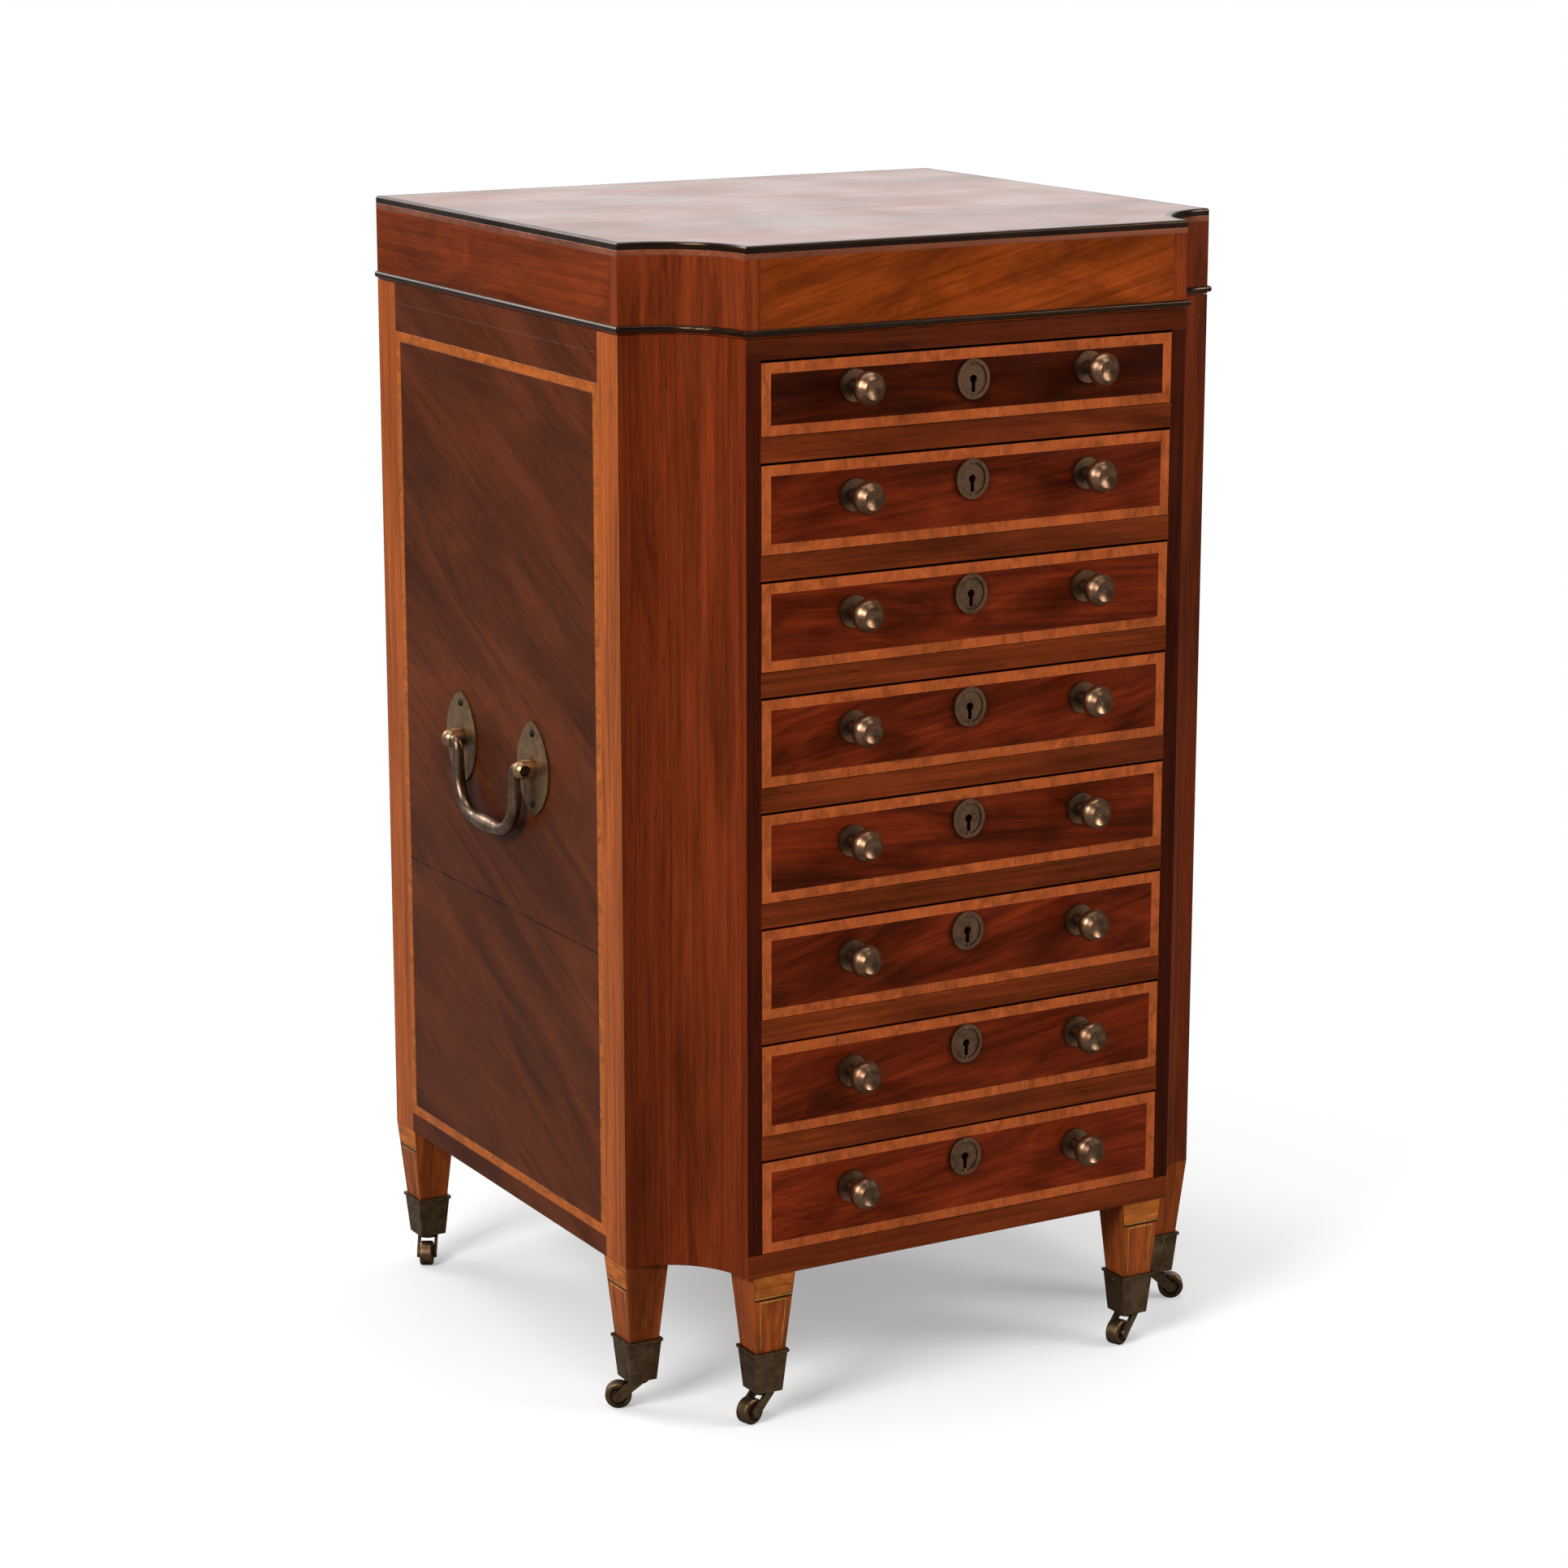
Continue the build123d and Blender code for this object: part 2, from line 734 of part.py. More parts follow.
leg_solids = []
caps = []
crown_top = cap_bottom - swivel_gap
crown_bottom = crown_top - crown_thickness
stem_top = crown_top + stem_length
axle_z = wheel_diameter / 2
arm_inner = wheel_width / 2 + fork_gap
arm_outer = arm_inner + fork_thickness
for name, (x, y, turn) in legs.items():
    point = (x, y)
    with BuildPart() as leg:
        add(square_taper(point, foot_z, underside_height, 0))
        add(round_bar(point, underside_height, underside_height + leg_tenon_length, leg_tenon_diameter))
        add(round_bar(point, foot_z, stem_top + swivel_gap, stem_bore_diameter), mode=Mode.SUBTRACT)
    leg_solids.append(leg.part)
    with BuildPart() as cap:
        add(square_taper(point, cap_bottom, cap_top, cap_wall))
        add(square_taper(point, cap_top - cap_lip_height, cap_top, cap_wall + cap_lip))
        add(square_taper(point, foot_z, cap_top, 0), mode=Mode.SUBTRACT)
        stem_hole = stem_diameter + 2 * pivot_clearance
        add(round_bar(point, cap_bottom, foot_z, stem_hole), mode=Mode.SUBTRACT)
    caps.append(cap.part)

    along = Vector(cos(radians(turn)), sin(radians(turn)), 0)
    across = Vector(sin(radians(turn)), -cos(radians(turn)), 0)
    pivot = Vector(x, y, 0)
    wheel_plane = Plane(origin=pivot, x_dir=along, z_dir=across)
    axle_plane = Plane(origin=pivot + along * caster_trail + Vector(0, 0, axle_z), x_dir=along, z_dir=across)
    with BuildPart() as fork:
        add(round_bar(point, crown_bottom, crown_top, crown_diameter))
        add(round_bar(point, crown_top, stem_top, stem_diameter))
        for arm_start in (arm_inner, -arm_outer):
            with BuildSketch(wheel_plane.offset(arm_start)):
                with Locations((0, (crown_bottom + crown_top) / 2)):
                    Rectangle(crown_diameter / 2, crown_thickness)
                with Locations((caster_trail, axle_z)):
                    Circle(axle_eye_diameter / 2)
                make_hull()
            extrude(amount=fork_thickness)
        with BuildSketch(axle_plane):
            Circle(axle_diameter / 2)
        extrude(amount=arm_outer, both=True)
    save(f"{name}_caster_fork", [fork.part])

    with BuildPart() as wheel:
        with BuildSketch(axle_plane):
            Circle(wheel_diameter / 2)
        extrude(amount=wheel_width / 2, both=True)
        fillet(wheel.edges(), radius=wheel_round)
        for face_side in (-1, 1):
            with BuildSketch(axle_plane.offset(face_side * wheel_width / 2)):
                Circle(wheel_diameter / 2 - 2 * wheel_round)
                Circle(wheel_hub_diameter / 2, mode=Mode.SUBTRACT)
            extrude(amount=-face_side * wheel_dish, mode=Mode.SUBTRACT)
        with BuildSketch(axle_plane):
            Circle(axle_diameter / 2 + pivot_clearance)
        extrude(amount=wheel_width, both=True, mode=Mode.SUBTRACT)
    save(f"{name}_caster_wheel", [wheel.part])
save("legs", leg_solids)
save("caster_caps", caps)
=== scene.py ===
"""Collectors cabinet: the veneers, polish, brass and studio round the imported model, laid out as an add-on."""
from math import cos, pi, radians, sin

import bmesh
import bpy
from mathutils import Matrix, Vector


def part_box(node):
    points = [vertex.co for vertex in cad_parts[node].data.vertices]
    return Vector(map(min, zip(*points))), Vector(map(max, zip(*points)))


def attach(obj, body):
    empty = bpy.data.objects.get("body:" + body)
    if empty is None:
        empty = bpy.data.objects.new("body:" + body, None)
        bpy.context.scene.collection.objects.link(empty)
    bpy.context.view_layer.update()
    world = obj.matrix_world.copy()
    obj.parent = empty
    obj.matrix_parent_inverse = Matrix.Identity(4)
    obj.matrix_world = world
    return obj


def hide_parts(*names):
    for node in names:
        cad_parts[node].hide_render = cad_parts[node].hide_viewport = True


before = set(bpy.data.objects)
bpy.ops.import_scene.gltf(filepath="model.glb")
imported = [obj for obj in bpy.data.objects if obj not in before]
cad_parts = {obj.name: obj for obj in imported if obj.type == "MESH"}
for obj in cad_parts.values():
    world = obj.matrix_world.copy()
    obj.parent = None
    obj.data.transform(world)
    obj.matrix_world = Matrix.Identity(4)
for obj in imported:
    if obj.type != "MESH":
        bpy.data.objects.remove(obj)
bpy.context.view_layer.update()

bl_info = {
    "name": "Collectors cabinet",
    "version": (1, 0, 0),
    "blender": (4, 5, 0),
    "location": "View3D > Sidebar > Cabinet",
    "description": "Dresses the packed collectors cabinet in its veneers, polish and brass",
    "category": "Object",
}

MM = 0.001
DRAWERS = 8
CORNERS = ("rear_left", "rear_right", "side_left", "side_right", "front_left", "front_right")

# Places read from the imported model
FRONT_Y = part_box("left_coved_post")[0].y
BACK_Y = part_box("back_panel")[1].y
HALF_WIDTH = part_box("right_side_panel")[1].x
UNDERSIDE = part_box("base_board")[0].z
LID_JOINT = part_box("top_board")[1].z
LID_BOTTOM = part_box("lid_rails")[0].z
LID_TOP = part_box("lid_panel")[1].z
CAP_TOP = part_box("caster_caps")[1].z

# Sizes that the faces are sorted by
COVE_RADIUS = 56 * MM
STILE_WIDTH = 27 * MM
BANDING = 6.5 * MM
VENEER = 1.2 * MM
BOTTOM_LOW = 5 * MM
BOTTOM_HIGH = 10 * MM
SIDE_SKIN = 2 * MM
LID_SIDE_SKIN = 5 * MM
CLOSE = 0.05 * MM

# The sides are two boards deep, and their joint has opened a little
SIDE_JOINT = 297 * MM
JOINT_WIDTH = 0.6 * MM

# Each drawer front is its own leaf of veneer, so its depth and the lie of its grain differ
LEAF_SHADES = (0.42, 1.1, 1.2, 1.15, 0.98, 1.1, 1.2, 1.5)
LEAF_TILTS = (-2, -6, 3, -9, 4, -12, -8, -5)

# Escutcheon pins, from the drawer front's face and its top edge
PLATE_RISE = 2.2 * MM
PLATE_DROP = 19 * MM
PLATE_PIN_SPREAD = 10 * MM
PLATE_PIN_SHARE = 0.8
PLATE_PIN_RISE = 0.6 * MM

# Bails keep their size at the eyes and swell below them
BAIL_EYE = 6 * MM
BAIL_SHOULDER = 9 * MM

# Hinge screws, each with its place along the leaf and the turn of its slot
HINGE_X = 120 * MM
LEAF_MIDDLE = 5 * MM
HINGE_SCREWS = ((-13 * MM, radians(-24.845)), (0.0, 0.0), (13 * MM, radians(24.845)))
HINGE_SCREW_RADIUS = 2 * MM
HINGE_SCREW_RISE = 0.05 * MM

# Back screws, with their heights as shares of the panel
BACK_SCREW_INSET = 9 * MM
BACK_SCREW_SHARES = (0.08, 0.36, 0.64, 0.92)
BACK_SCREW_RISE = 0.4 * MM
BACK_SCREW_TURN = 0.7

# Tapered legs: the middle of each in X and Y, and the way its show face looks
LEG_SIZE = 30 * MM
FOOT_SIZE = 16.5 * MM
FOOT_HEIGHT = 23 * MM
LEG_TAPER = (LEG_SIZE - FOOT_SIZE) / (UNDERSIDE - FOOT_HEIGHT)
CAP_WALL = 1.2 * MM
LEG_FACES = (
    ((-0.199, 0.1945), (-1, 0, 0)), ((0.199, 0.1945), (1, 0, 0)),
    ((-0.199, -0.1195), (-1, 0, 0)), ((0.199, -0.1195), (1, 0, 0)),
    ((-0.139, -0.1755), (0, -1, 0)), ((0.139, -0.1755), (0, -1, 0)),
)
OUTWARD = ((-1, 0, 0), (1, 0, 0), (0, -1, 0), (0, 1, 0))
CAP_PIN_DROP = 5 * MM
CAP_PIN_RISE = 0.7 * MM

# Leg inlays, as shares of half the leg's width, and their gap above the cap
INLAY_FULL = 0.96
INLAY_OUTER = 0.72
INLAY_INNER = 0.66
INLAY_GAP = 2 * MM

# The photograph's camera, from edges fitted in its 1932 pixel frame
PHOTO_SIZE = 1932
FOCAL_PIXELS = 5045
CAMERA_PLACE = (-1.3333, -2.2875, 0.9943)
CAMERA_YAW = radians(29.805)
CAMERA_PITCH = radians(13.49)
SENSOR_WIDTH = 36.0


def linear(code):
    """An sRGB hex colour as linear red, green and blue."""
    channels = [int(code[place:place + 2], 16) / 255 for place in (1, 3, 5)]
    return tuple(c / 12.92 if c <= 0.04045 else ((c + 0.055) / 1.055) ** 2.4 for c in channels)


def opaque(colour):
    """A colour with full alpha, as colour sockets take it."""
    return (*colour, 1.0)


def add_node(tree, kind, sockets=None, stops=None, **settings):
    """Add one node with its settings, its socket values or links, and the stops of a colour ramp."""
    node = tree.nodes.new(kind)
    for key, value in settings.items():
        setattr(node, key, value)
    for key, value in (sockets or {}).items():
        if isinstance(value, bpy.types.NodeSocket):
            tree.links.new(value, node.inputs[key])
        else:
            node.inputs[key].default_value = value
    if stops:
        ramp = node.color_ramp
        while len(ramp.elements) < len(stops):
            ramp.elements.new(1.0)
        for element, (place, colour) in zip(ramp.elements, stops):
            element.position = place
            element.color = opaque(colour)
    return node


def new_material(name):
    """An empty material with its output node."""
    material = bpy.data.materials.new(name)
    material.use_nodes = True
    tree = material.node_tree
    tree.nodes.clear()
    return material, tree, add_node(tree, "ShaderNodeOutputMaterial")


# Which of X, Y and Z the grain runs along
GRAIN_RUNS = {
    "level": (1, 1, 0),
    "upright": (0, 0, 1),
    "across": (1, 0, 0),
    "endways": (0, 1, 0),
}


def grain_size(run, width_mm, length_mm):
    """Size of a figure in metres along X, Y and Z, from its width and its length along the grain."""
    return [(length_mm if along else width_mm) * MM for along in GRAIN_RUNS[run]]


# Sawn veneer, scraped flat and polished by hand with shellac: deep colour under a thin warm gloss
def polished_wood(name, colour, run, figure=(46, 300), stripe=(3.0, 150), pore=(0.8, 11), tilt=(0, 0, 0),
                  shade=1.0, tone_shares=(0.6, 1.4), streak=(0.66, 1.34), gloss=0.24, shine=0.12, coat=0.0,
                  joint_height=None):
    """Wood under French polish: broad figure, fine stripe and dark open pores below a clear film."""
    shares = (tone_shares[0], 1, tone_shares[1])
    dark, middle, light = [[share * shade * part for part in colour] for share in shares]
    material, tree, output = new_material(name)
    place = add_node(tree, "ShaderNodeTexCoord").outputs["Object"]

    def grain(size, detail, distortion, roughness=0.5):
        lie = add_node(
            tree, "ShaderNodeMapping",
            {"Vector": place, "Rotation": [radians(turn) for turn in tilt], "Scale": grain_size(run, *size)},
            vector_type="TEXTURE",
        ).outputs["Vector"]
        return add_node(
            tree, "ShaderNodeTexNoise",
            {"Vector": lie, "Scale": 1.0, "Detail": detail, "Roughness": roughness, "Distortion": distortion},
        ).outputs["Fac"]

    figure_colour = add_node(
        tree, "ShaderNodeValToRGB", {"Fac": grain(figure, 5, 1.4, 0.6)},
        stops=[(0.34, dark), (0.5, middle), (0.68, light)],
    ).outputs["Color"]
    stripes = add_node(
        tree, "ShaderNodeMapRange",
        {"Value": grain(stripe, 4, 0.5, 0.65), "From Min": 0.3, "From Max": 0.7, "To Min": streak[0],
         "To Max": streak[1]},
    ).outputs["Result"]
    # Real pores are about 0.2 mm wide and are drawn wider here, so that they show
    pores = add_node(
        tree, "ShaderNodeMapRange",
        {"Value": grain(pore, 2, 0.2), "From Min": 0.28, "From Max": 0.42, "To Min": 0.6, "To Max": 1.0},
    ).outputs["Result"]
    depth = add_node(tree, "ShaderNodeMath", {0: stripes, 1: pores}, operation="MULTIPLY").outputs[0]
    if joint_height:
        height = add_node(tree, "ShaderNodeSeparateXYZ", {"Vector": place}).outputs["Z"]
        at_joint = add_node(
            tree, "ShaderNodeMath", {0: height, 1: joint_height, 2: JOINT_WIDTH}, operation="COMPARE"
        ).outputs[0]
        opened = add_node(
            tree, "ShaderNodeMath", {0: at_joint, 1: grain((30, 30), 3, 0.5)}, operation="MULTIPLY"
        ).outputs[0]
        depth = add_node(
            tree, "ShaderNodeMath", {0: opened, 1: -1.2, 2: depth}, operation="MULTIPLY_ADD", use_clamp=True
        ).outputs[0]
    # Old wax and dirt darken the inner corners, and so does painted shade: ambient occlusion darkens the colour
    # wherever parts close in or meet
    open_air = add_node(tree, "ShaderNodeAmbientOcclusion", {"Distance": 9 * MM}, samples=6).outputs["AO"]
    grime_and_painted_shade = add_node(
        tree, "ShaderNodeMapRange",
        {"Value": open_air, "From Min": 0.2, "From Max": 0.8, "To Min": 0.45, "To Max": 1.0},
    ).outputs["Result"]
    depth = add_node(tree, "ShaderNodeMath", {0: depth, 1: grime_and_painted_shade}, operation="MULTIPLY").outputs[0]
    tone = add_node(
        tree, "ShaderNodeVectorMath", {0: figure_colour, "Scale": depth}, operation="SCALE"
    ).outputs[0]
    # Handling has rounded the edges a little
    edges = add_node(tree, "ShaderNodeBevel", {"Radius": 0.7 * MM}, samples=4).outputs["Normal"]
    bump = add_node(
        tree, "ShaderNodeBump", {"Normal": edges, "Height": pores, "Strength": 0.1, "Distance": 0.2 * MM}
    ).outputs["Normal"]
    roughness = add_node(
        tree, "ShaderNodeMapRange",
        {"Value": grain((60, 60), 3, 0.0), "From Min": 0.3, "From Max": 0.7, "To Min": gloss,
         "To Max": gloss + 0.14},
    ).outputs["Result"]
    shader = add_node(
        tree, "ShaderNodeBsdfPrincipled",
        {"Base Color": tone, "Roughness": roughness, "Normal": bump, "IOR": 1.5, "Specular IOR Level": shine,
         "Specular Tint": opaque(linear("#ffc79a")), "Coat Weight": coat, "Coat Roughness": 0.1},
    )
    tree.links.new(shader.outputs[0], output.inputs["Surface"])
    return material


# Brass cast in sand, then turned or filed: hands keep its crowns bright, and its hollows go brown
def aged_brass(name, bright, tarnish, polish=0.28):
    """Old brass, rubbed bright where hands reach and brown where they do not."""
    material, tree, output = new_material(name)
    place = add_node(tree, "ShaderNodeTexCoord").outputs["Object"]
    mottle = add_node(
        tree, "ShaderNodeTexNoise", {"Vector": place, "Scale": 1 / (7 * MM), "Detail": 5.0, "Roughness": 0.65}
    ).outputs["Fac"]
    hollows = add_node(tree, "ShaderNodeAmbientOcclusion", {"Distance": 6 * MM}, samples=8).outputs["AO"]
    wear = add_node(tree, "ShaderNodeMath", {0: mottle, 1: hollows}, operation="MULTIPLY").outputs[0]
    colour = add_node(
        tree, "ShaderNodeValToRGB", {"Fac": wear}, stops=[(0.18, tarnish), (0.62, bright)]
    ).outputs["Color"]
    roughness = add_node(
        tree, "ShaderNodeMapRange",
        {"Value": wear, "From Min": 0.2, "From Max": 0.65, "To Min": polish + 0.22, "To Max": polish},
    ).outputs["Result"]
    scratches = add_node(
        tree, "ShaderNodeTexNoise", {"Vector": place, "Scale": 1 / (1.5 * MM), "Detail": 3.0}
    ).outputs["Fac"]
    bump = add_node(
        tree, "ShaderNodeBump", {"Height": scratches, "Strength": 0.06, "Distance": 0.1 * MM}
    ).outputs["Normal"]
    shader = add_node(
        tree, "ShaderNodeBsdfPrincipled",
        {"Base Color": colour, "Metallic": 1.0, "Roughness": roughness, "Normal": bump},
    )
    tree.links.new(shader.outputs[0], output.inputs["Surface"])
    return material


def finish_node(node, material):
    """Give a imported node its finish."""
    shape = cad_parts[node]
    shape.data.materials.clear()
    shape.data.materials.append(material)


def add_piece(name, mesh, body, materials):
    """Put a mesh in the scene with its finishes, on the body that carries it."""
    for material in materials:
        mesh.materials.append(material)
    piece = bpy.data.objects.new(name, mesh)
    bpy.context.scene.collection.objects.link(piece)
    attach(piece, body)
    return piece


def dressed_copy(node, name, body, materials, choose=None):
    """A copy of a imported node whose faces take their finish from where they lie."""
    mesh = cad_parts[node].data.copy()
    mesh.name = name
    mesh.materials.clear()
    for face in mesh.polygons:
        face.material_index = choose(face.center, face.normal) if choose else 0
    piece = add_piece(name, mesh, body, materials)
    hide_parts(node)
    return piece


def shaped_piece(name, shape, body, materials):
    """A new piece from a built shape."""
    bmesh.ops.recalc_face_normals(shape, faces=shape.faces)
    mesh = bpy.data.meshes.new(name)
    shape.to_mesh(mesh)
    shape.free()
    return add_piece(name, mesh, body, materials)


def face_axes(outward):
    """Two directions across a face, from the direction it faces."""
    outward = Vector(outward)
    first = outward.orthogonal().normalized()
    return outward, first, outward.cross(first)


PIN_SIDES = 14
PIN_RINGS = 4
PIN_SINK = 0.5 * MM


def add_pin(shape, centre, outward, radius, rise):
    """One domed pin head, closed below where it sinks into its plate."""
    outward, first, second = face_axes(outward)
    rings = [(radius, -PIN_SINK)]
    for ring in range(PIN_RINGS):
        angle = pi / 2 * ring / PIN_RINGS
        rings.append((radius * cos(angle), rise * sin(angle)))
    loops = []
    for ring_radius, lift in rings:
        turns = [2 * pi * side / PIN_SIDES for side in range(PIN_SIDES)]
        loops.append([
            shape.verts.new(
                Vector(centre) + outward * lift + (first * cos(turn) + second * sin(turn)) * ring_radius
            )
            for turn in turns
        ])
    crown = shape.verts.new(Vector(centre) + outward * rise)
    shape.faces.new(loops[0][::-1])
    for low, high in zip(loops, loops[1:]):
        for side in range(PIN_SIDES):
            after = (side + 1) % PIN_SIDES
            shape.faces.new((low[side], low[after], high[after], high[side])).smooth = True
    for side in range(PIN_SIDES):
        shape.faces.new((loops[-1][side], loops[-1][(side + 1) % PIN_SIDES], crown)).smooth = True


HEAD_STEPS = 9


def add_screw(shape, centre, outward, radius, rise, turn):
    """One slotted screw head: two half discs either side of the slot, on a thin floor."""
    outward, first, second = face_axes(outward)
    across = first * cos(turn) + second * sin(turn)
    along = outward.cross(across)
    half_slot = radius / 6
    reach = (radius ** 2 - half_slot ** 2) ** 0.5
    sweep = pi - 2 * (half_slot / radius)

    def add_prism(outline, low, high):
        lower = [shape.verts.new(Vector(centre) + point + outward * low) for point in outline]
        upper = [shape.verts.new(Vector(centre) + point + outward * high) for point in outline]
        shape.faces.new(lower[::-1])
        shape.faces.new(upper)
        for side in range(len(outline)):
            after = (side + 1) % len(outline)
            shape.faces.new((lower[side], lower[after], upper[after], upper[side]))

    for way in (1, -1):
        angles = [half_slot / radius + sweep * step / HEAD_STEPS for step in range(HEAD_STEPS + 1)]
        outline = [(across * cos(angle) + along * sin(angle)) * (radius * way) for angle in angles]
        add_prism(outline, -PIN_SINK, rise)
    floor = [across * (reach * x) + along * (half_slot * y) for x, y in ((-1, -1), (1, -1), (1, 1), (-1, 1))]
    add_prism(floor, -PIN_SINK, rise / 4)


def length_property(name, description, size):
    """A length that a user can change."""
    return bpy.props.FloatProperty(name=name, description=description, default=size, min=0.0, unit="LENGTH")


def power_property(name, description, power):
    """A lamp's power that a user can change."""
    return bpy.props.FloatProperty(name=name, description=description, default=power, min=0.0, unit="POWER")


def colour_property(name, description, code):
    """A colour that a user can change, written as its sRGB hex value."""
    return bpy.props.FloatVectorProperty(
        name=name, description=description, subtype="COLOR", size=3, min=0.0, max=1.0, default=linear(code)
    )


class CabinetFinishes(bpy.types.PropertyGroup):
    """Main colours of the woods and the brass."""

    drawer_field: colour_property("Drawer fronts", "Mahogany of the drawer fronts", "#591c08")
    rail: colour_property("Rails", "Mahogany of the rails and the back", "#6c2c10")
    # Painted shadow: the board below the lid is given a darker mahogany for the shadow of the lid's overhang
    top_rail_painted_shadow: colour_property("Top rail", "Mahogany of the board below the lid", "#4e1d0b")
    cove: colour_property("Coved corners", "Mahogany of the carcass corners", "#6a290f")
    front_stile: colour_property("Front stiles", "Dark strips beside the drawers", "#380f05")
    side_panel: colour_property("Side panels", "Mahogany of the sides", "#542611")
    side_stile: colour_property("Side stiles", "Satinwood stiles of the sides", "#9c4e22")
    string: colour_property("Side strings", "Satinwood strings of the sides", "#a65722")
    banding: colour_property("Banding", "Satinwood banding of the drawer fronts", "#aa5328")
    frieze: colour_property("Lid frieze", "Mahogany of the lid's rails", "#80360f")
    # Painted shade: a darker copy of the frieze's mahogany for the lid's side rails
    lid_side_painted_shade: colour_property("Lid sides", "Mahogany of the lid's side rails", "#6a2a0d")
    lid_cove: colour_property("Lid corners", "Mahogany of the lid's coved corners", "#722e13")
    lid_top: colour_property("Lid top", "Mahogany of the lid's top", "#7a412c")
    edging: colour_property("Edging", "Ebony round the lid", "#150b07")
    leg: colour_property("Legs", "Mahogany of the legs", "#8a421b")
    leg_block: colour_property("Leg blocks", "Satinwood at the tops of the legs", "#a85c24")
    leg_string: colour_property("Leg strings", "Boxwood lines on the legs", "#ae783c")
    oak: colour_property("Linings", "Oak of the drawer linings and runners", "#9a7446")
    # The drawer bottoms are given a darker oak than the linings
    oak_floor: colour_property("Drawer bottoms", "Oak of the drawer bottoms, darkened by dust", "#7a5832")
    knob_brass: colour_property("Knobs, rubbed", "Brass of the knobs where hands keep it bright", "#947055")
    knob_tarnish: colour_property("Knobs, tarnished", "Brass of the knobs in the hollows", "#34261d")
    plate_brass: colour_property("Plates, rubbed", "Brass of the handle plates and hinges", "#b8916b")
    plate_tarnish: colour_property("Plates, tarnished", "Brass of the plates in the hollows", "#584230")
    bail_brass: colour_property("Bails, rubbed", "Brass of the bails where hands keep it bright", "#8a705a")
    bail_tarnish: colour_property("Bails, tarnished", "Brass of the bails in the hollows", "#2a2019")
    caster_brass: colour_property("Casters, rubbed", "Brass of the caps and casters", "#84694a")
    caster_tarnish: colour_property("Casters, tarnished", "Brass of the casters in the hollows", "#2b2018")
    screw_brass: colour_property("Screws, rubbed", "Brass of the screws, dulled by age", "#3a332e")
    screw_tarnish: colour_property("Screws, tarnished", "Brass of the screws under dirt", "#17130f")


class CabinetFittings(bpy.types.PropertyGroup):
    """Sizes of the small fittings and inlays."""

    block_height: length_property("Leg block", "Height of the light block at a leg's top", 14 * MM)
    string_width: length_property("Leg string", "Width of the lines on the legs", 1.0 * MM)
    inlay_sink: length_property("Inlay depth", "Depth of the leg inlays in the wood", 0.4 * MM)
    inlay_rise: length_property("Inlay rise", "Height of the leg inlays above the wood", 0.12 * MM)
    bail_swell: length_property("Bail swell", "Thickness that casting adds round the bails", 0.8 * MM)
    pin_radius: length_property("Pin radius", "Radius of the brass pin heads", 1.0 * MM)
    screw_radius: length_property("Screw radius", "Radius of the screw heads in the back", 3.2 * MM)


class CabinetStage(bpy.types.PropertyGroup):
    """Sizes and strengths of the studio."""

    floor_size: length_property("Floor", "Width of the floor", 30.0)
    key_power: power_property("Key light", "Power of the main soft box", 122.0)
    fill_power: power_property("Fill light", "Power of the soft box on the right", 68.0)
    top_power: power_property("Top light", "Power of the soft box overhead", 45.0)
    back_power: power_property("Back light", "Power of the soft box behind", 40.0)
    ambient: bpy.props.FloatProperty(
        name="Ambient", description="Light from the white room", default=0.25, min=0.0
    )
    room: bpy.props.FloatProperty(
        name="Room", description="Brightness of the room as the polish mirrors it", default=0.06, min=0.0
    )


